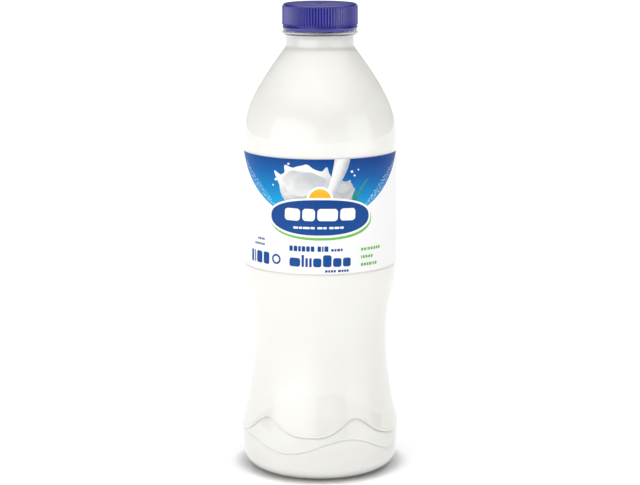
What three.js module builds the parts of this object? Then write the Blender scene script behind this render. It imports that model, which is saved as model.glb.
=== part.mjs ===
// A round clear PET milk bottle, filled to the base of its neck, with a ribbed screw cap and a
// wrap-around label. Millimetres, +Z up, origin at the centre of the standing ring, the label's
// face towards -Y. Every piece is a turned shape whose rings may swell or ripple round the axis.
import * as THREE from 'three';

// ---- Driving dimensions ---------------------------------------------------------------------
const SIDES = 36; // facets round the bottle, the milk, the label and the band
const WALL = 0.5; // bottle wall
const GAP = 0.3; // clearance between touching pieces
const RIPPLE_GAP = 0.4; // further clearance of the milk where the wall ripples

// The body's outline: height, radius and how fast the radius changes with height.
const NECK_BASE = { z: 257.6, r: 21.9, slope: -0.75 };
const BULGE = { z: 204, r: 47.1, slope: 0 };
const PANEL_TOP = { z: 198.8, r: 46.88, slope: 0.04 };
const PANEL_FOOT = { z: 127.2, r: 46.85, slope: 0 };
const GRIP_TOP = { z: 107, r: 44.15, slope: 0.24 };
const WAIST = { z: 82, r: 41.35, slope: 0 };
const FLARE = { z: 40, r: 45.5, slope: -0.2 };
const HIP = { z: 23, r: 48.5, slope: 0 };
const HEEL_TOP = { z: 9, r: 48, slope: 0.05 };
const BODY = [HEEL_TOP, HIP, FLARE, WAIST, GRIP_TOP, PANEL_FOOT, PANEL_TOP, BULGE, NECK_BASE];

// The label and the shallow panel that it wraps.
const LABEL_FOOT = 128.8;
const LABEL_TOP = 197.4;
const LABEL_RADIUS = 46.55;
const LABEL_THICKNESS = 0.3;
const PANEL_MARGIN = 0.4; // bare panel above and below the label
const LIP = 0.8; // height over which the wall steps out of the panel

// Two lines that ripple round the foot; the wall steps in below each of them. rise is half a
// wave's height, turn brings a crest to the front, lean makes the crests steep on one side, and dip
// is how far the line sinks at both flanks.
const UPPER_WAVE = { z: 33.8, rise: 5.3, count: 5, turn: 44, lean: 0.5, dip: 4, step: 0.8 };
const LOWER_WAVE = { z: 22.4, rise: 4.6, count: 4, turn: -20, lean: 0, dip: 4, step: 0.35 };
const STEP_WIDTH = 0.35; // half the height of each step

// The heel, the standing ring and the pushed-up base.
const HEEL_REACH = 13;
const HEEL_FACETS = 4;
const RING_WIDTH = 2.8;
const PUSH_UP = 9;
const GATE_RADIUS = 3;
const GATE_DROP = 0.8;

// The neck, its support ring and the mouth.
const NECK_RADIUS = 20.5;
const NECK_ROOT = 1.6; // height over which the shoulder turns up into the neck
const NECK_TOP = 265.3;
const SUPPORT_RADIUS = 22.9;
const SUPPORT_TOP = 268.4;
const SUPPORT_EDGE = 1.1; // thickness of the support ring's rim
const FINISH_RADIUS = 20.1;
const MOUTH_TOP = 282.8;
const MOUTH_BORE = 18.5;
const MILK_LEVEL = 257;

// The screw cap and the band under it.
const CAP_RIBS = 80;
const CAP_RADIUS = 22.7;
const CAP_TOP = 285;
const CAP_FOOT = 272;
const CAP_BORE = 20.9;
const CAP_CROWN = 1.5; // thickness of the flat top
const CAP_FILLET = 2.1;
const RIB_DEPTH = 0.45;
const RIB_TOP = 282;
const BAND_TOP = 271.5;
const BAND_FOOT = 269.2;
const BAND_RADIUS = 22.65;

// ---- Turned shapes --------------------------------------------------------------------------
const TURN = 2 * Math.PI;
const DEGREE = Math.PI / 180;

// A ring of the turned shape: radius(turn) and height(turn), with turn measured from the front.
function ring(radius, height) {
  return { radius: () => radius, height: () => height };
}

// Turns a list of rings, from the axis at one end to the axis at the other, into a closed mesh.
function turned(name, rings, sides, look) {
  const outline = rings.map((each) => new THREE.Vector2(each.radius(0), each.height(0)));
  const geometry = new THREE.LatheGeometry(outline, sides);
  const position = geometry.getAttribute('position');
  for (let side = 0; side <= sides; side += 1) {
    const turn = ((side % sides) / sides) * TURN;
    rings.forEach((each, index) => {
      const radius = each.radius(turn, side);
      const x = radius * Math.sin(turn);
      const y = -radius * Math.cos(turn);
      position.setXYZ(side * rings.length + index, x, y, each.height(turn));
    });
  }
  geometry.computeVertexNormals();
  const mesh = new THREE.Mesh(geometry, new THREE.MeshStandardMaterial(look));
  mesh.name = name;
  return mesh;
}

// ---- The body's outline ---------------------------------------------------------------------
// The radius at a height: one smooth cubic between each pair of stations.
function bodyRadius(z) {
  const last = BODY.length - 2;
  const found = BODY.findIndex((station, index) => index <= last && z <= BODY[index + 1].z);
  const index = found < 0 ? last : found;
  const low = BODY[index];
  const high = BODY[index + 1];
  const span = high.z - low.z;
  const t = (z - low.z) / span;
  const rise = t * t * (3 - 2 * t);
  const leave = t * (1 - t) * (1 - t) * span * low.slope;
  const arrive = -t * t * (1 - t) * span * high.slope;
  return low.r + (high.r - low.r) * rise + leave + arrive;
}

// How far a wave line lies above its mean height at a turn.
function waveShift(wave, turn) {
  const phase = wave.count * (turn + wave.turn * DEGREE);
  const ripples = wave.rise * Math.cos(phase + wave.lean * Math.sin(phase));
  return ripples - wave.dip * Math.sin(turn) ** 4;
}

// A ring of the rippled foot: it follows a share of each wave line, and inset takes it off the
// body's outline.
function ripple(z, inset, upperShare, lowerShare) {
  const height = (turn) =>
    z + upperShare * waveShift(UPPER_WAVE, turn) + lowerShare * waveShift(LOWER_WAVE, turn);
  return { radius: (turn) => bodyRadius(height(turn)) - inset, height };
}

// The foot from the heel's top to the flare, wall on the outside of the given depth.
function footRings(depth) {
  const full = UPPER_WAVE.step + LOWER_WAVE.step;
  const upper = UPPER_WAVE.step;
  const heelToWave = (HEEL_TOP.z + LOWER_WAVE.z) / 2;
  return [
    ripple(heelToWave, depth + full, 0, 0.5),
    ripple(LOWER_WAVE.z - STEP_WIDTH, depth + full, 0, 1),
    ripple(LOWER_WAVE.z + STEP_WIDTH, depth + upper, 0, 1),
    ripple(UPPER_WAVE.z - STEP_WIDTH, depth + upper, 1, 0),
    ripple(UPPER_WAVE.z + STEP_WIDTH, depth, 1, 0),
    ripple(FLARE.z + 2, depth, 0.4, 0),
  ];
}

// A ring on the body's outline, moved in by depth square to the surface.
function bodyRing(z, depth) {
  const probe = 0.01;
  const slope = (bodyRadius(z + probe) - bodyRadius(z - probe)) / (2 * probe);
  const length = Math.hypot(1, slope);
  return ring(bodyRadius(z) - depth / length, z + (depth * slope) / length);
}

// Evenly spaced rings on the body's outline between two heights, both ends left out.
function bodyRings(from, to, count, depth) {
  const rings = [];
  for (let index = 1; index <= count; index += 1) {
    rings.push(bodyRing(from + ((to - from) * index) / (count + 1), depth));
  }
  return rings;
}

// The panel that carries the label, one step in from the wall above and below it.
function panelRings(depth) {
  const floor = LABEL_RADIUS - LABEL_THICKNESS - GAP - depth;
  const low = LABEL_FOOT - PANEL_MARGIN;
  const high = LABEL_TOP + PANEL_MARGIN;
  return [
    ring(PANEL_FOOT.r - depth, low - LIP),
    ring(floor, low),
    ring(floor, high),
    ring(PANEL_TOP.r - depth, high + LIP),
  ];
}

// The heel, an elliptic quarter from the standing ring up to the foot.
function heelRings(depth) {
  const top = HEEL_TOP.r - UPPER_WAVE.step - LOWER_WAVE.step;
  const centre = top - HEEL_REACH;
  const rings = [];
  for (let index = 1; index <= HEEL_FACETS; index += 1) {
    const angle = (index / HEEL_FACETS) * (TURN / 4);
    const reach = (HEEL_REACH - depth) * Math.sin(angle);
    const drop = (HEEL_TOP.z - depth) * Math.cos(angle);
    rings.push(ring(centre + reach, HEEL_TOP.z - drop));
  }
  return rings;
}

// The base from the axis to the standing ring: the gate stub, the push-up and the flat ring.
function baseRings(depth) {
  const outer = HEEL_TOP.r - UPPER_WAVE.step - LOWER_WAVE.step - HEEL_REACH;
  const inner = outer - RING_WIDTH;
  const dome = (share) => PUSH_UP * (1 - share * share);
  const rings = [ring(0, PUSH_UP - GATE_DROP + depth), ring(GATE_RADIUS, PUSH_UP - GATE_DROP + depth)];
  [0.14, 0.65].forEach((share) => {
    rings.push(ring(inner * share, dome(share) + depth));
  });
  rings.push(ring(inner - depth / 2, depth), ring(outer, depth));
  return rings;
}

// The side of the body, bottom to top, as seen at a depth below its outer surface. The rippled foot
// may lie deeper than the rest.
function sideRings(depth, footDepth = depth) {
  return [
    ...heelRings(depth),
    ...footRings(footDepth),
    ...bodyRings(FLARE.z + 4, WAIST.z, 2, depth),
    bodyRing(WAIST.z, depth),
    ...bodyRings(WAIST.z, GRIP_TOP.z, 1, depth),
    bodyRing(GRIP_TOP.z, depth),
    ...bodyRings(GRIP_TOP.z, PANEL_FOOT.z, 1, depth),
    ...panelRings(depth),
    bodyRing(BULGE.z, depth),
    ...bodyRings(BULGE.z, NECK_BASE.z, 3, depth),
  ];
}

// ---- The pieces -----------------------------------------------------------------------------
// The neck outside, from the shoulder up over the support ring to the mouth.
function neckRings() {
  return [
    ring(NECK_BASE.r, NECK_BASE.z),
    ring(NECK_RADIUS, NECK_BASE.z + NECK_ROOT),
    ring(NECK_RADIUS, NECK_TOP),
    ring(SUPPORT_RADIUS, SUPPORT_TOP - SUPPORT_EDGE),
    ring(SUPPORT_RADIUS, SUPPORT_TOP),
    ring(FINISH_RADIUS, SUPPORT_TOP),
    ring(FINISH_RADIUS, MOUTH_TOP),
  ];
}

// A thin shell with an open mouth: out over the base, up the side, and back down the inside.
function makeBottle() {
  const outside = [...baseRings(0), ...sideRings(0), ...neckRings()];
  const inside = [
    ...baseRings(WALL),
    ...sideRings(WALL),
    bodyRing(NECK_BASE.z, WALL),
    ring(MOUTH_BORE, NECK_BASE.z + NECK_ROOT),
    ring(MOUTH_BORE, MOUTH_TOP),
  ];
  const look = { color: 0xf2f4f4, roughness: 0.08, metalness: 0, transparent: true, opacity: 0.4 };
  return turned('bottle', [...outside, ...inside.reverse()], SIDES, look);
}

// The milk fills the body a small clearance off the wall, up to a level at the neck's base.
function makeMilk() {
  const depth = WALL + GAP;
  const rim = bodyRadius(MILK_LEVEL) - depth - GAP;
  const side = sideRings(depth, depth + RIPPLE_GAP);
  const rings = [...baseRings(depth), ...side, ring(rim, MILK_LEVEL), ring(0, MILK_LEVEL)];
  return turned('milk', rings, SIDES, { color: 0xf4f3ee, roughness: 0.45, metalness: 0 });
}

// The label is a thin sleeve round the panel.
function makeLabel() {
  const inside = LABEL_RADIUS - LABEL_THICKNESS;
  const rings = [
    ring(inside, LABEL_FOOT),
    ring(LABEL_RADIUS, LABEL_FOOT),
    ring(LABEL_RADIUS, LABEL_TOP),
    ring(inside, LABEL_TOP),
    ring(inside, LABEL_FOOT),
  ];
  return turned('label', rings, SIDES, { color: 0xf3f3f2, roughness: 0.3, metalness: 0 });
}

// A ring of the cap's skirt whose every second side is sunk between two ribs.
function ribbedRing(height, depth) {
  return { radius: (turn, side) => CAP_RADIUS - (side % 2) * depth, height: () => height };
}

// The cap is a cup turned mouth down, with a rounded top edge and upright ribs on its skirt.
function makeCap() {
  const shoulder = CAP_RADIUS - CAP_FILLET;
  const half = CAP_FILLET * Math.SQRT1_2;
  const rings = [
    ring(0, CAP_TOP - CAP_CROWN),
    ring(CAP_BORE, CAP_TOP - CAP_CROWN),
    ring(CAP_BORE, CAP_FOOT),
    ribbedRing(CAP_FOOT, RIB_DEPTH),
    ribbedRing(RIB_TOP, RIB_DEPTH),
    ring(shoulder + half, CAP_TOP - CAP_FILLET + half),
    ring(shoulder, CAP_TOP),
    ring(0, CAP_TOP),
  ];
  return turned('cap', rings, 2 * CAP_RIBS, { color: 0x342f93, roughness: 0.35, metalness: 0 });
}

// The band that stays on the neck when the cap is first opened.
function makeBand() {
  const bevel = 0.5;
  const rings = [
    ring(CAP_BORE, BAND_FOOT),
    ring(BAND_RADIUS - bevel, BAND_FOOT),
    ring(BAND_RADIUS, BAND_FOOT + bevel),
    ring(BAND_RADIUS, BAND_TOP),
    ring(CAP_BORE, BAND_TOP),
    ring(CAP_BORE, BAND_FOOT),
  ];
  return turned('tamper_band', rings, SIDES, { color: 0x342f93, roughness: 0.35, metalness: 0 });
}

const model = new THREE.Group();
model.add(makeBottle(), makeMilk(), makeLabel(), makeCap(), makeBand());

export default model;
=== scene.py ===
import math
import random

import bmesh
import bpy
from mathutils import Matrix, Vector


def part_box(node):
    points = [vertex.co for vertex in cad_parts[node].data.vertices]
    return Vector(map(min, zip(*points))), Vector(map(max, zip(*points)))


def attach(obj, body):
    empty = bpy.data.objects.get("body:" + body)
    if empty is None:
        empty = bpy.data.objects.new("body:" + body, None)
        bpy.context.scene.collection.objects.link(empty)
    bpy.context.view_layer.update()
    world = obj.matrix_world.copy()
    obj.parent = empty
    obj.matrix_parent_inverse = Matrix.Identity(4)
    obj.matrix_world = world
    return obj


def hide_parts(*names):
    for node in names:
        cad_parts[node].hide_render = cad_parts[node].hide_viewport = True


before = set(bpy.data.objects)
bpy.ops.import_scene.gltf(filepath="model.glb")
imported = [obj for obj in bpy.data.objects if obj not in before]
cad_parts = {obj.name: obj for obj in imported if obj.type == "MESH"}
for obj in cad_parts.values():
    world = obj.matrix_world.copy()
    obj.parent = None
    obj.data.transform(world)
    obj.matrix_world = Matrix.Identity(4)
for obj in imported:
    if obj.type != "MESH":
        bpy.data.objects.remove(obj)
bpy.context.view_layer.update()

# A clear round PET bottle of milk: blown shell, milk, wrap-around film label with its print, ribbed
# screw cap and tamper band. The bottle's lengths are millimetres; MM takes them to the frame's
# metres. An outline round the axis lists (radius, height), one on the label (along, up).
MM = 0.001
TURN = 2 * math.pi

# ---- Sizes read from the frame ---------------------------------------------------------------
label_low, label_high = [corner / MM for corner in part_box("label")]
cap_low, cap_high = [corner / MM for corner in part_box("cap")]
band_low, band_high = [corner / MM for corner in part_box("tamper_band")]
MILK_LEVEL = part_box("milk")[1].z / MM
MOUTH_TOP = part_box("bottle")[1].z / MM
LABEL_FOOT, LABEL_TOP, LABEL_RADIUS = label_low.z, label_high.z, label_high.x
CAP_FOOT, CAP_TOP, CAP_RADIUS = cap_low.z, cap_high.z, cap_high.x
BAND_FOOT, BAND_TOP, BAND_RADIUS = band_low.z, band_high.z, band_high.x

# ---- The bottle's own sizes ------------------------------------------------------------------
WALL = 0.5
MILK_DEPTH = 0.25  # the milk meets the middle of the wall, so that no air shows between them
AROUND = 180  # facets round the bottle
SHARP_ANGLE = 40  # degrees; an edge that turns further than this stays crisp
WELD = 0.002  # points closer than this are merged

# Stations of the body's outline: height, radius, change of radius with height.
BODY = [
    (9, 48, 0.05),
    (23, 48.5, 0),
    (40, 45.5, -0.2),
    (82, 41.35, 0),
    (107, 44.15, 0.24),
    (127.2, 46.85, 0),
    (198.8, 46.88, 0.04),
    (204, 47.1, 0),
    (257.6, 21.9, -0.75),
]
HEEL_TOP, SHOULDER_TOP = BODY[0][0], BODY[-1][0]

# The two lines that ripple round the foot, each with a step in the wall below it. z is the line's
# mean height, rise how far its count waves swing from it, turn and lean where and how far they
# lean over, and dip how much lower it runs at the sides.
UPPER_WAVE = dict(z=33.8, rise=5.3, count=5, turn=44, lean=0.5, dip=4, step=0.8, groove=0.45, bead=0.15)
LOWER_WAVE = dict(z=22.4, rise=4.6, count=4, turn=-20, lean=0, dip=4, step=0.35, groove=0.4, bead=0.1)
STEP_HEIGHT = 0.8
LINE_MARGIN = 0.8  # the wall this far above and below a line follows it unchanged
RIPPLE_END = 46  # above this the wall is round again

HEEL_REACH = 13  # how far the heel curves in under the bottle
RING_WIDTH = 2.8
PUSH_UP = 9

PANEL_FLOOR = LABEL_RADIUS
PANEL_LOW = LABEL_FOOT - 0.15
PANEL_HIGH = LABEL_TOP + 0.15
LIP = 1.0  # the height of the slope from the wall into the panel

NECK_ROOT_RADIUS, NECK_TIP_RADIUS = 20.7, 20.4
SUPPORT_RADIUS, SUPPORT_TOP, SUPPORT_RIM = 22.9, 268.4, 1.1
FINISH_RADIUS = 20.1
MOUTH_BORE = 18.5
CLING_TOP = SUPPORT_TOP - 0.8  # how far up the neck a film of milk clings
CLING = 0.4  # its thickness


def smooth(value):
    """A value held between 0 and 1, eased at both ends."""
    value = min(max(value, 0.0), 1.0)
    return value * value * (3 - 2 * value)


def body_radius(z):
    """The body's radius at a height, one smooth cubic between each pair of stations."""
    pairs = list(zip(BODY, BODY[1:]))
    low, high = next((pair for pair in pairs if z <= pair[1][0]), pairs[-1])
    span = high[0] - low[0]
    t = (z - low[0]) / span
    leave = t * (1 - t) ** 2 * span * low[2]
    arrive = -t * t * (1 - t) * span * high[2]
    return low[1] + (high[1] - low[1]) * t * t * (3 - 2 * t) + leave + arrive


def side_radius(z):
    """The wall's radius at a height, with the shallow panel that the label wraps."""
    inside = smooth((z - PANEL_LOW + LIP) / LIP) * smooth((PANEL_HIGH + LIP - z) / LIP)
    return body_radius(z) + (PANEL_FLOOR - body_radius(z)) * inside


def wave_height(wave, turn):
    """The height of a rippled line at a turn round the axis."""
    phase = wave["count"] * (turn + math.radians(wave["turn"]))
    ripples = wave["rise"] * math.cos(phase + wave["lean"] * math.sin(phase))
    return wave["z"] + ripples - wave["dip"] * math.sin(turn) ** 4


def line_shift(z, turn):
    """How far a ring drawn at a height is raised or sunk at a turn, so that it follows the lines."""
    knots = [(HEEL_TOP, 0)]
    for wave in (LOWER_WAVE, UPPER_WAVE):
        shift = wave_height(wave, turn) - wave["z"]
        knots += [(wave["z"] - LINE_MARGIN, shift), (wave["z"] + LINE_MARGIN, shift)]
    knots.append((RIPPLE_END, 0))
    low, high = next((pair for pair in zip(knots, knots[1:]) if z <= pair[1][0]), (knots[-1], knots[-1]))
    share = (z - low[0]) / max(high[0] - low[0], 0.001)
    return low[1] + (high[1] - low[1]) * share


def step_inset(z):
    """How far the wall is stepped in at the height that a ring is drawn at: a step, with a slight
    bead above it and a groove under it, placed and sized in step heights."""
    inset = 0
    for wave in (UPPER_WAVE, LOWER_WAVE):
        above = (z - wave["z"]) / STEP_HEIGHT
        inset += wave["step"] * (1 - smooth(above + 0.5))
        inset += wave["groove"] * math.exp(-(((above + 0.45) / 0.35) ** 2))
        inset -= wave["bead"] * math.exp(-(((above - 0.7) / 0.4) ** 2))
    return inset


def spaced(start, end, spacing):
    """Evenly spaced values from start up to but not including end."""
    count = max(1, round(abs(end - start) / spacing))
    return [start + (end - start) * index / count for index in range(count)]


# ---- Making meshes ---------------------------------------------------------------------------
def turn_of(point):
    """The angle of a point round the axis, from the front towards +X."""
    return math.atan2(point.x, -point.y)


def spin_outline(outline, around):
    """A bmesh of a closed or axis-to-axis outline of (radius, height), spun round the axis."""
    bm = bmesh.new()
    points = [bm.verts.new((radius, 0, z)) for radius, z in outline]
    lines = [bm.edges.new(pair) for pair in zip(points, points[1:])]
    bmesh.ops.spin(
        bm,
        geom=points + lines,
        axis=(0, 0, 1),
        cent=(0, 0, 0),
        angle=TURN,
        steps=around,
        use_merge=True,
    )
    bmesh.ops.remove_doubles(bm, verts=bm.verts, dist=WELD)
    bmesh.ops.recalc_face_normals(bm, faces=bm.faces)
    return bm


def ripple_foot(bm):
    """Bends the straight rings of the foot to its two rippled lines and steps the wall in."""
    for vert in bm.verts:
        radius = vert.co.xy.length
        z = vert.co.z
        if HEEL_TOP - 0.1 < z < RIPPLE_END and radius > HEEL_REACH:
            depth = body_radius(z) - radius
            vert.co.z += line_shift(z, turn_of(vert.co))
            factor = (body_radius(vert.co.z) - depth - step_inset(z)) / radius
            vert.co.x *= factor
            vert.co.y *= factor


def piece(name, bm, material, replaced=()):
    """Takes a bmesh in millimetres to a finished piece that rides on the object."""
    bmesh.ops.scale(bm, verts=bm.verts, vec=(MM, MM, MM))
    for face in bm.faces:
        face.smooth = True
    sharp = math.radians(SHARP_ANGLE)
    for edge in bm.edges:
        edge.smooth = len(edge.link_faces) == 2 and edge.calc_face_angle(0) < sharp
    mesh = bpy.data.meshes.new(name)
    bm.to_mesh(mesh)
    bm.free()
    mesh.materials.append(material)
    made = bpy.data.objects.new(name, mesh)
    bpy.context.scene.collection.objects.link(made)
    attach(made, "root")
    if replaced:
        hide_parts(*replaced)
    return made


# ---- Materials -------------------------------------------------------------------------------
def linear(hex_colour):
    """An sRGB hex value as linear RGBA."""
    shares = [int(hex_colour[i : i + 2], 16) / 255 for i in (1, 3, 5)]
    return [s / 12.92 if s <= 0.04045 else ((s + 0.055) / 1.055) ** 2.4 for s in shares] + [1.0]


def add_node(tree, kind, settings=None, values=None, links=None):
    """A node of any kind, with its settings, its socket values and what feeds it."""
    made = tree.nodes.new(kind)
    for name, value in (settings or {}).items():
        setattr(made, name, value)
    for name, value in (values or {}).items():
        made.inputs[name].default_value = value
    for name, source in (links or {}).items():
        tree.links.new(source, made.inputs[name])
    return made


def start_material(name, values):
    """A material with one Principled shader; values go on the shader's own sockets."""
    material = bpy.data.materials.new(name)
    material.use_nodes = True
    tree = material.node_tree
    shader = tree.nodes["Principled BSDF"]
    for socket, value in values.items():
        shader.inputs[socket].default_value = value
    return material, tree, shader


def ramp_stops(ramp, stops):
    """Sets a colour ramp's stops from (place, hex colour) pairs."""
    elements = ramp.color_ramp.elements
    for extra in range(len(stops) - len(elements)):
        elements.new(0.5)
    for element, (place, colour) in zip(elements, stops):
        element.position = place
        element.color = linear(colour)


def make_blown_pet():
    """PET, stretch-blown in a polished mould: clear with a hard gloss. The wall comes out a little
    uneven, so reflections along it waver over a centimetre or two."""
    material, tree, shader = start_material(
        "blown_pet",
        {
            "Base Color": linear("#FBFCFC"),
            "Roughness": 0.04,
            "IOR": 1.575,
            "Transmission Weight": 1.0,
        },
    )
    place = add_node(tree, "ShaderNodeTexCoord")
    waver = add_node(
        tree,
        "ShaderNodeTexNoise",
        values={"Scale": 1 / (22 * MM), "Detail": 1.0, "Roughness": 0.4},
        links={"Vector": place.outputs["Object"]},
    )
    uneven = add_node(
        tree,
        "ShaderNodeBump",
        values={"Strength": 1.0, "Distance": 0.35 * MM},
        links={"Height": waver.outputs["Fac"]},
    )
    tree.links.new(uneven.outputs["Normal"], shader.inputs["Normal"])
    return material


def make_milk():
    """Whole milk, homogenised: tiny fat drops scatter the light, so it is a soft opaque white with
    a faint cream tint that drifts over a few centimetres, and shadows in it are never hard."""
    material, tree, shader = start_material(
        "whole_milk",
        {
            "Roughness": 0.35,
            "IOR": 1.35,
            "Subsurface Weight": 0.25,
            "Subsurface Radius": (1.0, 0.9, 0.75),
            "Subsurface Scale": 3 * MM,
        },
    )
    place = add_node(tree, "ShaderNodeTexCoord")
    cloud = add_node(
        tree,
        "ShaderNodeTexNoise",
        values={"Scale": 1 / (30 * MM), "Detail": 2.0},
        links={"Vector": place.outputs["Object"]},
    )
    tint = add_node(tree, "ShaderNodeValToRGB", links={"Fac": cloud.outputs["Fac"]})
    ramp_stops(tint, [(0.3, "#FAF8F4"), (0.7, "#FDFCF9")])
    tree.links.new(tint.outputs["Color"], shader.inputs["Base Color"])
    return material


def make_cap_plastic():
    """High-density polyethylene, injection moulded and dyed violet blue: a satin skin with a very
    fine grain, left matt on the flat top, a little light let in at its edges. The grain is about
    0.05 mm and the dye streaks as the plastic flowed, over some 9 mm."""
    material, tree, shader = start_material(
        "moulded_polyethylene",
        {
            "IOR": 1.54,
            "Specular IOR Level": 0.7,
            "Subsurface Weight": 0.04,
            "Subsurface Radius": (0.4, 0.4, 1.0),
            "Subsurface Scale": 1 * MM,
        },
    )
    place = add_node(tree, "ShaderNodeTexCoord")
    flow = add_node(
        tree,
        "ShaderNodeTexNoise",
        values={"Scale": 1 / (9 * MM), "Detail": 3.0},
        links={"Vector": place.outputs["Object"]},
    )
    dye = add_node(tree, "ShaderNodeValToRGB", links={"Fac": flow.outputs["Fac"]})
    ramp_stops(dye, [(0.3, "#0B0678"), (0.7, "#0F0A84")])
    tree.links.new(dye.outputs["Color"], shader.inputs["Base Color"])
    gloss = add_node(
        tree,
        "ShaderNodeMapRange",
        values={"To Min": 0.13, "To Max": 0.22},
        links={"Value": flow.outputs["Fac"]},
    )
    axes = add_node(tree, "ShaderNodeSeparateXYZ", links={"Vector": place.outputs["Object"]})
    on_top = add_node(
        tree,
        "ShaderNodeMapRange",
        values={"From Min": (CAP_TOP - 0.5) * MM, "From Max": (CAP_TOP - 0.2) * MM, "To Max": 0.4},
        links={"Value": axes.outputs["Z"]},
    )
    roughness = add_node(
        tree,
        "ShaderNodeMath",
        settings={"operation": "ADD"},
        links={0: gloss.outputs["Result"], 1: on_top.outputs["Result"]},
    )
    tree.links.new(roughness.outputs["Value"], shader.inputs["Roughness"])
    # Drawn ten times as coarse as the real grain, so that it shows at all.
    grain = add_node(
        tree,
        "ShaderNodeTexNoise",
        values={"Scale": 1 / (0.5 * MM), "Detail": 1.0},
        links={"Vector": place.outputs["Object"]},
    )
    skin = add_node(
        tree,
        "ShaderNodeBump",
        values={"Strength": 1.0, "Distance": 0.02 * MM},
        links={"Height": grain.outputs["Fac"]},
    )
    tree.links.new(skin.outputs["Normal"], shader.inputs["Normal"])
    return material


UV_UNIT = 100  # one unit of the label's UV map is this many millimetres
FOLD_SIZE = 9  # drawn milk's folds
FLECK_SIZE = 0.9  # drawn drops of spray


def make_print(name, stops, low=0, high=200, toward=(0, 1), folds=0.03, spray=0):
    """Reverse-printed BOPP film, run off a roll: a smooth skin that mirrors only faintly, under it
    fields of ink that fade from shade to shade. toward gives the way along the label in which the
    ink fades, from low to high millimetres; folds is how far drawn milk's soft shading wanders
    off that, as a share of the fade, and spray how strongly the field is flecked with white."""
    material, tree, shader = start_material(
        name,
        {"Roughness": 0.42, "IOR": 1.5, "Specular IOR Level": 0.12},
    )
    place = add_node(tree, "ShaderNodeUVMap", settings={"uv_map": "label_map"})
    reach = add_node(
        tree,
        "ShaderNodeVectorMath",
        settings={"operation": "DOT_PRODUCT"},
        values={1: (toward[0], toward[1], 0)},
        links={0: place.outputs["UV"]},
    )
    share = add_node(
        tree,
        "ShaderNodeMapRange",
        values={"From Min": low / UV_UNIT, "From Max": high / UV_UNIT},
        links={"Value": reach.outputs["Value"]},
    )
    wander = add_node(
        tree,
        "ShaderNodeTexNoise",
        values={"Scale": UV_UNIT / FOLD_SIZE, "Detail": 2.0, "Distortion": 0.8},
        links={"Vector": place.outputs["UV"]},
    )
    shift = add_node(
        tree,
        "ShaderNodeMapRange",
        values={"From Min": 0.25, "From Max": 0.75, "To Min": -folds, "To Max": folds},
        links={"Value": wander.outputs["Fac"]},
    )
    mixed = add_node(
        tree,
        "ShaderNodeMath",
        settings={"operation": "ADD"},
        links={0: share.outputs["Result"], 1: shift.outputs["Result"]},
    )
    fade = add_node(tree, "ShaderNodeValToRGB", links={"Fac": mixed.outputs["Value"]})
    ramp_stops(fade, stops)
    colour = fade.outputs["Color"]
    if spray:
        flecks = add_node(
            tree,
            "ShaderNodeTexNoise",
            values={"Scale": UV_UNIT / FLECK_SIZE, "Detail": 3.0, "Roughness": 0.7},
            links={"Vector": place.outputs["UV"]},
        )
        fleck = add_node(
            tree,
            "ShaderNodeMapRange",
            values={"From Min": 0.52, "From Max": 0.66, "To Max": spray},
            links={"Value": flecks.outputs["Fac"]},
        )
        foam = add_node(
            tree,
            "ShaderNodeMix",
            settings={"data_type": "RGBA"},
            values={7: linear("#E4F2FA")},
            links={0: fleck.outputs["Result"], 6: colour},
        )
        colour = foam.outputs[2]
    tree.links.new(colour, shader.inputs["Base Color"])
    return material


# ---- The bottle ------------------------------------------------------------------------------
def foot_outline(depth):
    """The underside and the heel, from the axis out to the heel's top, at a depth in the wall."""
    full = UPPER_WAVE["step"] + LOWER_WAVE["step"]
    top = BODY[0][1] - full
    outer = top - HEEL_REACH
    inner = outer - RING_WIDTH
    gate = PUSH_UP - 0.9 + depth
    outline = [(0, gate), (2.2, gate), (2.9, gate + 0.6)]
    for radius in spaced(3.6, inner, 1.8):
        outline.append((radius, PUSH_UP * (1 - (radius / inner) ** 2.4) + depth))
    outline += [(inner, 0.12 + depth), (inner + 0.5, depth), (outer - 0.4, depth)]
    for angle in spaced(0.02, TURN / 4, TURN / 80):
        reach = (HEEL_REACH - depth) * math.sin(angle)
        drop = (HEEL_TOP - depth) * math.cos(angle)
        outline.append((outer + reach, HEEL_TOP - drop))
    return outline


def side_outline(depth):
    """The side from the heel's top to the top of the shoulder, at a depth square to the wall. Its
    points lie close together at the rippled lines and the panel's lips, further apart between."""
    edge = LIP + 0.4
    heights = []
    from_height = HEEL_TOP
    for wave in (LOWER_WAVE, UPPER_WAVE):
        heights += spaced(from_height, wave["z"] - LINE_MARGIN, 1.3)
        heights += spaced(wave["z"] - LINE_MARGIN, wave["z"] + LINE_MARGIN, 0.1)
        from_height = wave["z"] + LINE_MARGIN
    heights += spaced(from_height, PANEL_LOW - edge, 1.3)
    heights += spaced(PANEL_LOW - edge, PANEL_LOW + 0.4, 0.12)
    heights += spaced(PANEL_LOW + 0.4, PANEL_HIGH - 0.4, 17)
    heights += spaced(PANEL_HIGH - 0.4, PANEL_HIGH + edge, 0.12)
    heights += spaced(PANEL_HIGH + edge, SHOULDER_TOP, 1.6)
    probe = 0.05
    outline = []
    for z in heights:
        slope = (side_radius(z + probe) - side_radius(z - probe)) / (2 * probe)
        length = math.hypot(1, slope)
        outline.append((side_radius(z) - depth / length, z + depth * slope / length))
    return outline


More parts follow.
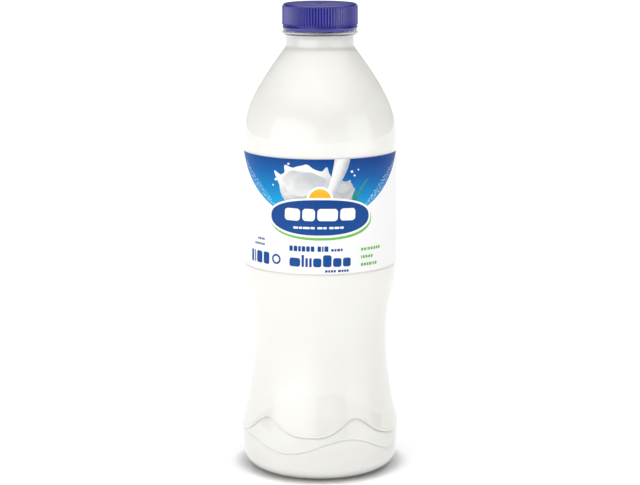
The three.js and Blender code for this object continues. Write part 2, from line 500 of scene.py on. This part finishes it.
def neck_outline():
    """The neck outside: a curved root, a slight taper, the support ring and the plain finish."""
    root = (BODY[-1][1], SHOULDER_TOP)
    bend = (NECK_ROOT_RADIUS - 0.1, SHOULDER_TOP + 1.5)
    end = (NECK_ROOT_RADIUS, SHOULDER_TOP + 3.4)
    outline = []
    for t in spaced(0, 1, 1 / 7):
        a, b, c = (1 - t) ** 2, 2 * t * (1 - t), t * t
        outline.append(tuple(a * p + b * q + c * r for p, q, r in zip(root, bend, end)))
    under = SUPPORT_TOP - SUPPORT_RIM
    outline += [
        end,
        (NECK_TIP_RADIUS, under - 2.9),
        (NECK_TIP_RADIUS + 0.1, under - 2.2),
        (NECK_TIP_RADIUS + 0.5, under - 1.6),
        (SUPPORT_RADIUS - 0.5, under - 0.25),
        (SUPPORT_RADIUS - 0.12, under),
        (SUPPORT_RADIUS, under + 0.25),
        (SUPPORT_RADIUS, SUPPORT_TOP - 0.3),
        (SUPPORT_RADIUS - 0.12, SUPPORT_TOP - 0.08),
        (SUPPORT_RADIUS - 0.4, SUPPORT_TOP),
        (FINISH_RADIUS + 0.3, SUPPORT_TOP),
        (FINISH_RADIUS, SUPPORT_TOP + 0.3),
        (FINISH_RADIUS, MOUTH_TOP - 0.4),
        (FINISH_RADIUS - 0.4, MOUTH_TOP),
    ]
    return outline


def make_bottle(material):
    """The blown shell: up the outside to the mouth and down the inside, its neck's bore plain."""
    outside = foot_outline(0) + side_outline(0) + neck_outline()
    inside = foot_outline(WALL) + side_outline(WALL)
    inside += [
        (BODY[-1][1] - WALL, SHOULDER_TOP - 0.2),
        (NECK_ROOT_RADIUS - 0.3, SHOULDER_TOP + 1.2),
        (NECK_ROOT_RADIUS - 0.6, SHOULDER_TOP + 3.2),
        (NECK_TIP_RADIUS - 0.8, SUPPORT_TOP - 1),
        (NECK_TIP_RADIUS - 0.8, SUPPORT_TOP + 0.4),
        (MOUTH_BORE, SUPPORT_TOP + 2),
        (MOUTH_BORE, MOUTH_TOP - 0.4),
        (MOUTH_BORE + 0.4, MOUTH_TOP),
    ]
    bm = spin_outline(outside + inside[::-1], AROUND)
    ripple_foot(bm)
    return piece("bottle_shell", bm, material, ["bottle"])


def make_milk_fill(material):
    """The milk, out to the middle of the wall, its surface drawn up a little at its edge; above it
    the thin film that shaking leaves clinging to the neck."""
    side = [point for point in side_outline(MILK_DEPTH) if point[1] < MILK_LEVEL]
    cling = [
        (BODY[-1][1] - WALL + 0.2, SHOULDER_TOP - 0.2),
        (NECK_ROOT_RADIUS - 0.1, SHOULDER_TOP + 1.2),
        (NECK_ROOT_RADIUS - 0.4, SHOULDER_TOP + 3.2),
        (NECK_TIP_RADIUS - 0.6, CLING_TOP),
    ]
    film = [(radius - CLING, z) for radius, z in cling[::-1]]
    rim = film[-1][0]
    level = MILK_LEVEL - 0.4
    surface = [(rim - reach, level + 0.5 * math.exp(-reach / 1.3)) for reach in spaced(0, 7, 0.5)]
    outline = foot_outline(MILK_DEPTH) + side + cling + film + surface + [(0, level)]
    bm = spin_outline(outline, AROUND)
    ripple_foot(bm)
    return piece("milk_fill", bm, material, ["milk"])


# ---- The cap ---------------------------------------------------------------------------------
RIBS = 80
RIB_FACETS = 8
RIB_DEPTH = 0.85
RIB_TOP = CAP_TOP - 1.6
RIB_FOOT = CAP_FOOT + 0.5
CAP_FILLET = 2.2
CAP_BORE = 20.9
CROWN = 1.5  # thickness of the cap's top
BRIDGES = 20
BRIDGE_WIDTH, BRIDGE_DEPTH = 0.9, 0.5
BAND_FACETS = 240


def rib_inset(z, turn):
    """How far the cap's skirt is sunk at a height and a turn: narrow ribs with round valleys."""
    valley = 0.5 - 0.5 * math.cos(RIBS * turn)
    ends = smooth((z - RIB_FOOT) / 0.6) * smooth((RIB_TOP + 0.5 - z) / 0.9)
    return RIB_DEPTH * valley * ends


def make_cap(material):
    """A cup, mouth down: dished crown with a gate dimple, rounded edge, ribbed skirt."""
    shoulder = CAP_RADIUS - CAP_FILLET
    outline = [(0, CAP_TOP - CROWN), (CAP_BORE, CAP_TOP - CROWN), (CAP_BORE, CAP_FOOT + 0.2)]
    outline += [(CAP_BORE + 0.2, CAP_FOOT), (CAP_RADIUS - 0.45, CAP_FOOT)]
    outline += [(CAP_RADIUS - 0.2, CAP_FOOT + 0.2)]
    outline += [(CAP_RADIUS, z) for z in spaced(RIB_FOOT - 0.1, RIB_FOOT + 0.7, 0.15)]
    outline += [(CAP_RADIUS, z) for z in spaced(RIB_FOOT + 0.7, CAP_TOP - CAP_FILLET, 3)]
    for angle in spaced(0, TURN / 4, TURN / 88):
        rounded = (CAP_FILLET * math.cos(angle), CAP_FILLET * math.sin(angle))
        outline.append((shoulder + rounded[0], CAP_TOP - CAP_FILLET + rounded[1]))
    outline += [(shoulder, CAP_TOP), (shoulder - 0.8, CAP_TOP - 0.02), (shoulder - 1.3, CAP_TOP - 0.2)]
    outline += [(shoulder - 1.9, CAP_TOP - 0.3), (10, CAP_TOP - 0.36), (1.6, CAP_TOP - 0.4)]
    outline += [(1.2, CAP_TOP - 0.6), (0.5, CAP_TOP - 0.65), (0, CAP_TOP - 0.65)]
    bm = spin_outline(outline, RIBS * RIB_FACETS)
    for vert in bm.verts:
        radius = vert.co.xy.length
        if radius > CAP_RADIUS - 0.3:
            factor = 1 - rib_inset(vert.co.z, turn_of(vert.co)) / radius
            vert.co.x *= factor
            vert.co.y *= factor
    return piece("screw_cap", bm, material, ["cap"])


def make_band(material):
    """The tamper band, with a raised upper edge, a sunk lower skirt and a thin web that runs up
    inside the cap, behind the slit."""
    outline = [
        (CAP_BORE - 0.4, BAND_FOOT + 0.2),
        (CAP_BORE + 0.2, BAND_FOOT),
        (BAND_RADIUS - 0.75, BAND_FOOT),
        (BAND_RADIUS - 0.45, BAND_FOOT + 0.2),
        (BAND_RADIUS - 0.3, BAND_FOOT + 1.1),
        (BAND_RADIUS - 0.05, BAND_FOOT + 1.35),
        (BAND_RADIUS, BAND_FOOT + 1.6),
        (BAND_RADIUS - 0.05, BAND_TOP - 0.25),
        (BAND_RADIUS - 0.3, BAND_TOP),
        (CAP_BORE - 0.1, BAND_TOP),
        (CAP_BORE - 0.1, CAP_FOOT + 0.8),
        (CAP_BORE - 0.4, CAP_FOOT + 0.8),
        (CAP_BORE - 0.4, BAND_FOOT + 0.2),
    ]
    return piece("band", spin_outline(outline, BAND_FACETS), material, ["tamper_band"])


def make_bridges(material):
    """The thin bridges across the slit that tear when the cap is first turned."""
    bm = bmesh.new()
    for index in range(BRIDGES):
        made = bmesh.ops.create_cube(bm, size=1)["verts"]
        height = CAP_FOOT - BAND_TOP + 0.2
        bmesh.ops.scale(bm, vec=(BRIDGE_WIDTH, BRIDGE_DEPTH, height), verts=made)
        middle = Vector((0, -(BAND_RADIUS - 0.62), (CAP_FOOT + BAND_TOP) / 2))
        bmesh.ops.translate(bm, vec=middle, verts=made)
        spun = Matrix.Rotation(TURN * (index + 0.5) / BRIDGES, 3, "Z")
        bmesh.ops.rotate(bm, verts=made, cent=(0, 0, 0), matrix=spun)
    bmesh.ops.bevel(
        bm,
        geom=bm.edges[:],
        offset=0.08,
        affect="EDGES",
        segments=1,
        profile=0.5,
        material=-1,
    )
    return piece("band_bridges", bm, material)


# ---- The label -------------------------------------------------------------------------------
FILM = 0.08  # film thickness, drawn a little over the real 0.05
FILM_RADIUS = PANEL_FLOOR + 0.03  # the film's inner face
INK = 0.02  # each layer of print stands this far proud of the one below
STRIP = 1.6  # what is wrapped is first cut into strips this wide
BACK = math.pi * (FILM_RADIUS + FILM)  # from the front's middle round to the back's middle
OVERLAP = 9


def cut_in_strips(bm, outline):
    """One flat face from a closed outline of (along, up), cut into upright strips."""
    corners = [bm.verts.new((along, up, 0)) for along, up in outline]
    face = bm.faces.new(corners)
    face.normal_update()
    if face.normal.z < 0:
        face.normal_flip()
    left = min(along for along, up in outline)
    right = max(along for along, up in outline)
    flat = bmesh.ops.triangulate(bm, faces=[face])["faces"]
    pieces = flat + list({item for part in flat for item in [*part.edges, *part.verts]})
    for place in spaced(left, right, STRIP)[1:]:
        sliced = bmesh.ops.bisect_plane(
            bm,
            geom=pieces,
            dist=1e-5,
            plane_co=(place, 0, 0),
            plane_no=(1, 0, 0),
        )
        pieces = sliced["geom"]


def wrap(name, outlines, layer, material, replaced=()):
    """Film or print cut to flat outlines of (along, up), thickened and wrapped round the panel.
    Layer 0 is the film; print starts inside it and ends that many layers of ink outside it."""
    bm = bmesh.new()
    for outline in outlines:
        cut_in_strips(bm, outline)
    uv = bm.loops.layers.uv.new("label_map")
    for face in bm.faces:
        for loop in face.loops:
            loop[uv].uv = loop.vert.co.xy / UV_UNIT
    raised = bmesh.ops.extrude_face_region(bm, geom=bm.faces[:], use_keep_orig=True)["geom"]
    lifted = [item for item in raised if isinstance(item, bmesh.types.BMVert)]
    bmesh.ops.translate(bm, verts=lifted, vec=(0, 0, 1))
    bmesh.ops.recalc_face_normals(bm, faces=bm.faces)
    thickness, base = FILM, FILM_RADIUS
    if layer:
        thickness, base = FILM / 2 + layer * INK, FILM_RADIUS + FILM / 2
    for vert in bm.verts:
        past_seam = vert.co.x - BACK - OVERLAP / 2
        radius = base + thickness * vert.co.z + 1.2 * FILM * smooth(past_seam + OVERLAP)
        turn = vert.co.x / (FILM_RADIUS + FILM)
        vert.co = (radius * math.sin(turn), -radius * math.cos(turn), vert.co.y)
    return piece(name, bm, material, replaced)


def oval(along, up, wide, high, power=2.0):
    """An oval of half sizes wide and high; a power above 2 fills its corners out."""
    outline = []
    for angle in spaced(0, TURN, TURN / 72):
        c, s = math.cos(angle), math.sin(angle)
        reach = (abs(c) ** power + abs(s) ** power) ** (-1 / power)
        outline.append((along + wide * reach * c, up + high * reach * s))
    return outline


def block(along, up, length, height, rounding=0.3):
    """A block with rounded corners, from its left end, centred on a height."""
    radius = min(length, height) * rounding
    outline = []
    for corner, (side, rise) in enumerate([(1, 1), (-1, 1), (-1, -1), (1, -1)]):
        x = along + length / 2 + side * (length / 2 - radius)
        y = up + rise * (height / 2 - radius)
        for angle in spaced(corner * TURN / 4, (corner + 1) * TURN / 4, TURN / 16):
            outline.append((x + radius * math.cos(angle), y + radius * math.sin(angle)))
    return outline


def dummy_line(along, up, height, widths, gap=0.5, tall=()):
    """A line of plain blocks in place of lettering; a negative width is a space between words."""
    blocks = []
    for index, width in enumerate(widths):
        if width > 0:
            extra = height * 0.35 if index in tall else 0
            blocks.append(block(along, up + extra / 2, width, height + extra))
        along += abs(width) + gap
    return blocks


BOWL_HALF = 63.8  # the blue field's half width at the label's top edge
BOWL_FOOT = 160  # its lowest point


def bowl_edge(offset):
    """How high the blue field's curved lower edge is at a distance from its middle."""
    return BOWL_FOOT + (LABEL_TOP - BOWL_FOOT) * (offset / BOWL_HALF) ** 2


def bowl(middle):
    """The blue field: the label's top edge above, a bowl-shaped curve below."""
    half = BOWL_HALF * 0.995
    under = [(middle + x, bowl_edge(x)) for x in spaced(-half, half, 1.6)]
    return under + [(middle + half, LABEL_TOP - 0.1), (middle - half, LABEL_TOP - 0.1)]


def crescent(start, end, lift, thickness):
    """A band that follows the bowl's edge and tapers to both ends."""
    reach = spaced(start, end, (end - start) / 30) + [end]
    spread = [thickness * math.sin(math.pi * index / 30) + 0.02 for index in range(31)]
    low = [(x, bowl_edge(x) + lift) for x in reach]
    high = [(x * 0.99, bowl_edge(x) + lift + deep) for x, deep in zip(reach, spread)]
    return low + high[::-1]


def crown(middle, foot, wide, high, tips, lean):
    """Milk thrown up in a crown: a round foot and a rim drawn out into a few leaning tips."""
    outline = []
    for angle in spaced(math.pi, TURN, TURN / 60):
        x = middle + wide * 0.86 * math.cos(angle)
        outline.append((x, foot + high * 0.45 * (1 + math.sin(angle))))
    for share in spaced(0, 1, 1 / 90):
        angle = math.pi * share
        swell = 0.5 + 0.5 * math.cos(TURN * tips * share + 0.9)
        tip = swell**3 * (0.65 + 0.35 * math.cos(7 * share))
        rim = 0.45 + 0.36 * math.sin(angle) ** 0.6 + 0.03 * math.sin(TURN * 2.3 * share)
        x = middle + wide * (0.86 + 0.14 * tip) * math.cos(angle) + lean * tip
        outline.append((x, foot + high * (rim + 0.14 * tip)))
    return outline


def hollow(middle, up, wide, high):
    """The shaded inside of a crown, seen over its near rim: a bean with a wavy upper edge."""
    outline = []
    for angle in spaced(0, TURN, TURN / 60):
        rim = 1 + 0.1 * math.sin(3 * angle + 0.7) + 0.05 * math.sin(7 * angle)
        outline.append((middle + wide * rim * math.cos(angle), up + high * rim * math.sin(angle)))
    return outline


def stream(start, end, start_width, end_width):
    """Poured milk: a ribbon that bends and narrows from the label's top edge down to the crown."""
    left, right = [], []
    for share in spaced(0, 1, 1 / 20) + [1]:
        x = start[0] + (end[0] - start[0]) * (0.35 * share + 0.65 * share**1.8)
        y = start[1] + (end[1] - start[1]) * share
        width = start_width + (end_width - start_width) * smooth(share)
        left.append((x - width / 2, y))
        right.append((x + width / 2, y))
    return left + right[::-1]


def blade(along, up, length, lean, width):
    """A blade of grass: broad at its foot, bent over to a point."""
    left, right = [], []
    for share in spaced(0, 1, 0.1):
        spread = width * (1 - share) ** 0.8 / 2
        bend = lean * share**1.4 * length
        left.append((along + bend - spread, up + length * share))
        right.append((along + bend + spread, up + length * share))
    tip = [(along + lean * length, up + length)]
    return left + tip + right[::-1]


def make_inks():
    """The film and every ink on it, by name; those that fade do so along their own way."""
    sky = [(0.05, "#0B97C8"), (0.4, "#0A75B4"), (0.68, "#0B579B"), (1.0, "#0A3A81")]
    milk_white = [(0.0, "#ABAFB4"), (0.35, "#C8CACC"), (0.65, "#DCDDDC"), (1.0, "#E4E5E3")]
    milk_shade = [(0.0, "#DADAD8"), (0.5, "#CBCCCC"), (1.0, "#B4B7BB")]
    milk_pour = [(0.0, "#C6C9CC"), (0.3, "#E4E5E3"), (0.6, "#DBDCDB"), (1.0, "#A6AAAF")]
    return {
        "film": make_print("bopp_film_white", [(0.0, "#E4E4E6"), (1.0, "#E8E8E8")]),
        "blue": make_print("ink_blue_field", sky, 168, 197, toward=(0.06, 1)),
        "spray": make_print("ink_blue_spray", sky, 168, 197, toward=(0.06, 1), spray=0.85),
        "white": make_print("ink_white", [(0.0, "#E9E9EA"), (1.0, "#ECECEC")]),
        "body": make_print("ink_milk_body", milk_white, 167, 186, toward=(-0.35, 0.94), folds=0.35),
        "shade": make_print("ink_milk_shade", milk_shade, 143, 158, toward=(0.5, 0.86), folds=0.25),
        "pour": make_print("ink_milk_pour", milk_pour, -66.5, -58.5, toward=(0.93, -0.38), folds=0.1),
        "navy": make_print("ink_navy", [(0.0, "#12478C"), (1.0, "#0F3F82")], 150, 175),
        "green": make_print("ink_green", [(0.0, "#5BA53F"), (1.0, "#6FB648")], 128, 152),
        "grass": make_print("ink_grass", [(0.0, "#1E7A45"), (1.0, "#4FAE57")], 172, 186),
        "sun": make_print("ink_orange", [(0.0, "#F59A17"), (1.0, "#FBB733")], 170, 182),
    }


def make_film(ink):
    """The white film, once round the panel, its ends lapped at the back."""
    end = BACK + OVERLAP / 2
    round_once = [(-end, LABEL_FOOT), (end, LABEL_FOOT), (end, LABEL_TOP), (-end, LABEL_TOP)]
    wrap("label_film", [round_once], 0, ink["film"], ["label"])


def print_splash(ink):
    """The blue field: milk poured in from above, the crowns it throws up, spray, drops and grass."""
    wrap("print_blue_field", [bowl(0)], 1, ink["blue"])
    both_sides = [crescent(-61, -26, 0.9, 5.5), crescent(26, 61, 0.9, 5.5)]
    wrap("print_spray", both_sides, 2, ink["spray"])
    blades = [blade(20, 170, 15.5, 0.72, 2.4), blade(17.5, 170, 9, 0.6, 2.0)]
    wrap("print_grass", blades, 3, ink["grass"])
    drops = [oval(-27.5, 184.5, 0.9, 0.8), oval(-19, 194.3, 0.7, 0.6), oval(19.3, 189.6, 0.8, 0.7)]
    drops += [oval(21, 187.2, 0.6, 0.6), oval(23.5, 190.5, 0.5, 0.5), oval(-29.5, 181, 0.5, 0.5)]
    crowns = [crown(-9, 167, 18.5, 31.5, 4, -1.5), crown(11.5, 168.5, 10, 20, 3, 1.2)]
    wrap("print_milk_crowns", crowns, 3, ink["body"])
    wrap("print_milk_drops", drops, 3, ink["white"])
    hollows = [hollow(-10.5, 183.3, 12.5, 7.2), hollow(13, 180.3, 5.2, 2.8)]
    wrap("print_milk_hollows", hollows, 4, ink["shade"])
    poured = stream((13.4, LABEL_TOP - 0.1), (4.5, 175), 9.6, 5.2)
    wrap("print_milk_pour", [poured], 5, ink["pour"])


def print_plaque(ink):
    """A plain oval plaque with blank blocks on it and a half sun behind it."""
    wrap("print_green_edge", [oval(0.6, 161.3, 32.3, 12.1, 2.3)], 3, ink["green"])
    wrap("print_sun_ring", [oval(0, 173.2, 8.0, 8.0)], 6, ink["white"])
    wrap("print_sun", [oval(0, 173.2, 6.6, 6.6)], 7, ink["sun"])
    wrap("print_plaque_edge", [oval(0, 162.6, 32.3, 11.9, 2.3)], 8, ink["white"])
    wrap("print_plaque", [oval(0, 162.7, 30.9, 10.6, 2.3)], 9, ink["navy"])
    plaque_blocks = dummy_line(-21.4, 164.4, 7.4, [9.6, 7.6, 12.2, 9.6], 1.3)
    plaque_blocks += dummy_line(-16, 156.6, 1.3, [3, 2, 4, 2.6, -0.6, 3, 2, -0.6, 2.6, 3, 2.2], 0.45)
    wrap("print_plaque_blocks", plaque_blocks, 10, ink["white"])


def print_front_lines(ink):
    """The blank lines under the plaque, a ring among them, and three green lines to their right."""
    lines = dummy_line(-18.6, 144.0, 3.3, [2.2, 2.4, 1.6, 2.2, 2.2, 2.2, -0.8, 2.2, 0.9, 2.4], 0.5)
    lines += dummy_line(6.6, 143.2, 1.6, [1.6, 1.2, 1.8, 1.2], 0.4)
    lines += dummy_line(-18.6, 135.8, 5.4, [6.8, 1.5, 1.5, 1.5, 5.0, 5.2, 5.2, 5.0], 0.8, (1, 5))
    lines += dummy_line(3.0, 130.6, 1.5, [1.5, 1.2, 1.4, 1.3, -0.6, 1.8, 1.2, 1.2, 1.4], 0.35)
    lines += dummy_line(-42.5, 147.6, 1.4, [1.4, 1.1, 1.2, 1.2], 0.35)
    lines += dummy_line(-45.5, 144.4, 1.4, [1.3, 1.1, 1.2, 1.2, 1.1, 1.3], 0.35)
    lines += dummy_line(-49.5, 136.4, 7.4, [2.4, 1.1, 5.2, 4.8], 1.1)
    lines.append(oval(-27.5, 136.6, 3.1, 3.1))
    wrap("print_lines_navy", lines, 1, ink["navy"])
    wrap("print_ring_hole", [oval(-27.5, 136.6, 1.9, 1.9)], 2, ink["white"])
    lines = dummy_line(25.5, 142.6, 1.9, [1.5, 1.6, 0.7, 1.6, 1.6, 1.6, 1.6, 1.6], 0.45)
    lines += dummy_line(25.5, 138.0, 1.9, [0.7, 1.6, 1.6, 1.7, 1.5], 0.45)
    lines += dummy_line(25.5, 133.4, 1.9, [1.6, 1.6, 1.4, 1.6, 0.7, 0.9, 1.6], 0.45)
    wrap("print_lines_green", lines, 1, ink["green"])


def print_back(ink):
    """The back: two header bands, a table, a paragraph of small blocks and a bar pattern."""
    rng = random.Random(4)
    left, right = -BACK + 10, BACK - 64
    bands = [block(along, 191.5, 54, 5, 0.5) for along in (left, right)]
    wrap("print_back_bands", bands, 1, ink["blue"])
    rules = [block(along, 132.4, 54, 1.0, 0.5) for along in (left, right)]
    wrap("print_back_rule", rules, 1, ink["green"])
    wrap("print_table_frame", [block(left + 2, 162, 34, 46, 0.05)], 1, ink["navy"])
    wrap("print_table_field", [block(left + 2.4, 162, 33.2, 45.2, 0.04)], 2, ink["white"])
    marks = []
    for row in range(9):
        up = 181.5 - row * 4.9
        words = [rng.uniform(1.6, 3.2) for _ in range(rng.choice((3, 4, 5)))]
        marks += dummy_line(left + 4, up, 1.5, words, 0.45)
        marks += dummy_line(left + 27, up, 1.5, [rng.uniform(1.4, 2.2), rng.uniform(1.4, 2.2)], 0.45)
        marks.append(block(left + 3.4, up - 2.45, 31, 0.25, 0.2))
    for row in range(7):
        words = [rng.uniform(1.4, 3.6) for _ in range(9)]
        marks += dummy_line(right + 4, 184 - row * 3.1, 1.3, words[: 7 + row % 3], 0.45)
    marks += dummy_line(left + 39, 181.5, 2.6, [2.6, 3.4, 3.0], 0.6)
    wrap("print_back_marks", marks, 3, ink["navy"])
    bars = []
    along = right + 9
    while along < right + 41:
        width = rng.choice((0.35, 0.35, 0.7, 1.05))
        bars.append(block(along, 147, width, 19, 0.05))
        along += width + rng.choice((0.4, 0.4, 0.75))
    wrap("print_back_bars", bars, 1, ink["navy"])


def make_label():
    """The film and all the print on it, layer on layer."""
    ink = make_inks()
    make_film(ink)
    print_splash(ink)
    print_plaque(ink)
    print_front_lines(ink)
    print_back(ink)


# ---- Stage, lights and camera, in metres -----------------------------------------------------
FLOOR_HALF = 14
PAINTED_SHADOW_MIDDLE = (0, 0.004, 0)  # the middle of the painted shadow under the bottle, the dim patch that the floor's glow leaves out
FLOOR_GLOW = 0.34
GLOW_START, GLOW_FULL = 0.046, 0.057  # how far from that middle the painted glow sets in, round the painted shadow
FAR_GLOW = 0.28  # added to it well away from the bottle
FAR_START, FAR_FULL = 0.06, 0.4
STUDIO_WALLS = 0.12  # light from the studio's walls, all round
CEILING = 2.0  # how much brighter it is overhead
CEILING_START, CEILING_FULL = 0.5, 0.95  # sines of the heights between which it sets in
SKYLINE = 0.6  # light from the sweep's far edge, all round
SKYLINE_END = 0.4  # sine of the height by which the walls have taken over from it
SOFTBOX_HEIGHT = 1.0
SOFTBOX_MIDDLE = 0.3  # how high its middle is above the floor
SOFTBOX_DISTANCE = 0.9
END_FADE = 0.3  # share of a softbox's height over which its ends fade
CAMERA_PLACE = (0, -1.197, 0.36926)
CAMERA_TILT = 79.114  # degrees up from looking straight down
CAMERA_LENS = 112.04  # millimetres


def add_to_stage(name, bm, material):
    """Takes a bmesh in metres to a part of the stage, which isn't a piece of the object."""
    mesh = bpy.data.meshes.new(name)
    bm.to_mesh(mesh)
    bm.free()
    mesh.materials.append(material)
    made = bpy.data.objects.new(name, mesh)
    bpy.context.scene.collection.objects.link(made)


def make_glowing_floor_paper():
    """Paper, calendered: pale with a slight sheen. Painted light: it glows so that it goes white away
    from the bottle, and the glow is left out right under it, a painted shadow that stays dim."""
    material, tree, shader = start_material(
        "floor_glow_painted_shadow",
        {"Base Color": linear("#DADADA"), "Roughness": 0.3, "Emission Color": (1, 1, 1, 1)},
    )
    place = add_node(tree, "ShaderNodeTexCoord")
    away = add_node(
        tree,
        "ShaderNodeVectorMath",
        settings={"operation": "DISTANCE"},
        values={1: PAINTED_SHADOW_MIDDLE},
        links={0: place.outputs["Object"]},
    )
    # Painted light and shade: the floor glows white, except near the bottle's foot, where a painted
    # shadow is left.
    glow = add_node(
        tree,
        "ShaderNodeMapRange",
        settings={"interpolation_type": "SMOOTHSTEP"},
        values={"From Min": GLOW_START, "From Max": GLOW_FULL, "To Max": FLOOR_GLOW},
        links={"Value": away.outputs["Value"]},
    )
    far = add_node(
        tree,
        "ShaderNodeMapRange",
        values={"From Min": FAR_START, "From Max": FAR_FULL, "To Max": FAR_GLOW},
        links={"Value": away.outputs["Value"]},
    )
    both = add_node(
        tree,
        "ShaderNodeMath",
        settings={"operation": "ADD"},
        links={0: glow.outputs["Result"], 1: far.outputs["Result"]},
    )
    tree.links.new(both.outputs["Value"], shader.inputs["Emission Strength"])
    return material


def make_floor():
    """The flat sweep that the bottle stands on."""
    bm = bmesh.new()
    bmesh.ops.create_grid(bm, x_segments=1, y_segments=1, size=FLOOR_HALF)
    add_to_stage("floor", bm, make_glowing_floor_paper())


def make_softbox_light(name, strength, side_fade):
    """A softbox's lit cloth: its light fades towards its edges, over side_fade of its width."""
    material = bpy.data.materials.new(name)
    material.use_nodes = True
    tree = material.node_tree
    tree.nodes.clear()
    place = add_node(tree, "ShaderNodeUVMap", settings={"uv_map": "softbox_map"})
    axes = add_node(tree, "ShaderNodeSeparateXYZ", links={"Vector": place.outputs["UV"]})
    fades = []
    for axis, softness in (("X", side_fade), ("Y", END_FADE)):
        inward = add_node(
            tree,
            "ShaderNodeMath",
            settings={"operation": "PINGPONG"},
            values={1: 0.5},
            links={0: axes.outputs[axis]},
        )
        fades.append(
            add_node(
                tree,
                "ShaderNodeMapRange",
                settings={"interpolation_type": "SMOOTHSTEP"},
                values={"From Max": softness},
                links={"Value": inward.outputs["Value"]},
            )
        )
    level = add_node(
        tree,
        "ShaderNodeMath",
        settings={"operation": "MULTIPLY"},
        links={0: fades[0].outputs["Result"], 1: fades[1].outputs["Result"]},
    )
    scaled = add_node(
        tree,
        "ShaderNodeMath",
        settings={"operation": "MULTIPLY"},
        values={1: strength},
        links={0: level.outputs["Value"]},
    )
    glow = add_node(tree, "ShaderNodeEmission", links={"Strength": scaled.outputs["Value"]})
    clear = add_node(tree, "ShaderNodeBsdfTransparent")
    lit = add_node(
        tree,
        "ShaderNodeAddShader",
        links={0: glow.outputs["Emission"], 1: clear.outputs["BSDF"]},
    )
    add_node(tree, "ShaderNodeOutputMaterial", links={"Surface": lit.outputs["Shader"]})
    return material


def add_softbox(name, around, wide, strength, side_fade):
    """An upright softbox that faces the bottle; around is its angle from the camera in degrees,
    towards +X."""
    bm = bmesh.new()
    bm.loops.layers.uv.new("softbox_map")
    bmesh.ops.create_grid(bm, x_segments=1, y_segments=1, size=0.5, calc_uvs=True)
    bmesh.ops.scale(bm, verts=bm.verts, vec=(wide, SOFTBOX_HEIGHT, 1))
    bmesh.ops.rotate(bm, verts=bm.verts, cent=(0, 0, 0), matrix=Matrix.Rotation(TURN / 4, 3, "X"))
    bmesh.ops.translate(bm, verts=bm.verts, vec=(0, -SOFTBOX_DISTANCE, SOFTBOX_MIDDLE))
    spun = Matrix.Rotation(math.radians(around), 3, "Z")
    bmesh.ops.rotate(bm, verts=bm.verts, cent=(0, 0, 0), matrix=spun)
    add_to_stage(name, bm, make_softbox_light(name, strength, side_fade))


def make_studio(scene):
    """The light all round: dim walls, a bright ceiling, and the sweep's pale edge at the skyline."""
    world = bpy.data.worlds.new("studio")
    world.use_nodes = True
    tree = world.node_tree
    place = add_node(tree, "ShaderNodeTexCoord")
    way = add_node(tree, "ShaderNodeSeparateXYZ", links={"Vector": place.outputs["Generated"]})
    overhead = add_node(
        tree,
        "ShaderNodeMapRange",
        settings={"interpolation_type": "SMOOTHSTEP"},
        values={
            "From Min": CEILING_START,
            "From Max": CEILING_FULL,
            "To Min": STUDIO_WALLS,
            "To Max": STUDIO_WALLS + CEILING,
        },
        links={"Value": way.outputs["Z"]},
    )
    rise = add_node(
        tree,
        "ShaderNodeMapRange",
        settings={"interpolation_type": "SMOOTHSTEP"},
        values={"From Max": SKYLINE_END},
        links={"Value": way.outputs["Z"]},
    )
    strength = add_node(
        tree,
        "ShaderNodeMix",
        settings={"data_type": "FLOAT"},
        values={2: SKYLINE},
        links={0: rise.outputs["Result"], 3: overhead.outputs["Result"]},
    )
    background = tree.nodes["Background"]
    background.inputs["Color"].default_value = (1, 1, 1, 1)
    tree.links.new(strength.outputs[0], background.inputs["Strength"])
    scene.world = world


def make_camera(scene):
    """A long lens that looks slightly down on the bottle."""
    camera = bpy.data.cameras.new("camera")
    camera.lens = CAMERA_LENS
    camera.sensor_width = 36
    made = bpy.data.objects.new("camera", camera)
    scene.collection.objects.link(made)
    made.location = CAMERA_PLACE
    made.rotation_euler = (math.radians(CAMERA_TILT), 0, 0)
    scene.camera = made


def make_stage():
    """A plain sweep, a wide softbox to the left and a narrower one to the right."""
    scene = bpy.context.scene
    scene.view_settings.view_transform = "Standard"
    # Light that milk sends back out through the clear wall keeps its full strength.
    scene.cycles.blur_glossy = 0
    make_studio(scene)
    make_floor()
    add_softbox("softbox_left", around=-41, wide=1.46, strength=1.5, side_fade=0.2)
    add_softbox("softbox_right", around=62, wide=0.84, strength=1.15, side_fade=0.25)
    make_camera(scene)


make_stage()
pet = make_blown_pet()
make_bottle(pet)
make_milk_fill(make_milk())
violet = make_cap_plastic()
make_cap(violet)
make_band(violet)
make_bridges(violet)
make_label()
